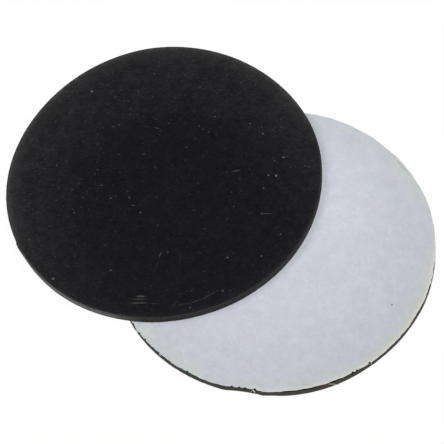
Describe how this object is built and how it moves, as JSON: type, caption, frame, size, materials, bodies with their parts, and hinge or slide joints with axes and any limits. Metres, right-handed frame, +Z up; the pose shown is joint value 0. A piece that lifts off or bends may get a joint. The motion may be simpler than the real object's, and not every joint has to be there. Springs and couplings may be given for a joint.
{
  "type": "self-adhesive anti-slip pad pair",
  "caption": "Pair of round self-adhesive rubber anti-slip pads, one lying rubber up on the other, which lies with its paper release liner up.",
  "frame": {"origin": "bottom centre of the pair's box, on the surface that the lower pad lies on", "axes": "+Z up through the pads' thickness; +X along the line of centres, from the upper pad to the lower pad"},
  "size_m": [0.114, 0.08, 0.0046],
  "materials": {
    "black_rubber": "matt calendered face with dust and light scuffs, die-cut rim",
    "tape_adhesive": "tacky clear acrylic coat, faintly amber",
    "tape_tissue": "thin fibrous tissue",
    "liner_paper": "cool pale siliconised paper, softly mottled"
  },
  "bodies": {
    "lower_pad": {"lower_rubber_disc": "black_rubber", "lower_inner_adhesive": "tape_adhesive", "lower_tissue_carrier": "tape_tissue", "lower_outer_adhesive": "tape_adhesive"},
    "lower_liner": {"lower_release_liner": "liner_paper"},
    "upper_pad": {"upper_rubber_disc": "black_rubber", "upper_inner_adhesive": "tape_adhesive", "upper_tissue_carrier": "tape_tissue", "upper_outer_adhesive": "tape_adhesive"},
    "upper_liner": {"upper_release_liner": "liner_paper"}
  },
  "joints": [
    {"name": "lower_liner_peel", "type": "slide", "parent": "lower_pad", "child": "lower_liner", "axis": [1, 0, 0], "range_m": [0, 0.085]},
    {"name": "upper_pad_lift", "type": "slide", "parent": "lower_pad", "child": "upper_pad", "axis": [0, 0, 1], "range_m": [0, 0.06]},
    {"name": "upper_liner_peel", "type": "slide", "parent": "upper_pad", "child": "upper_liner", "axis": [0, -1, 0], "range_m": [0, 0.085]}
  ]
}
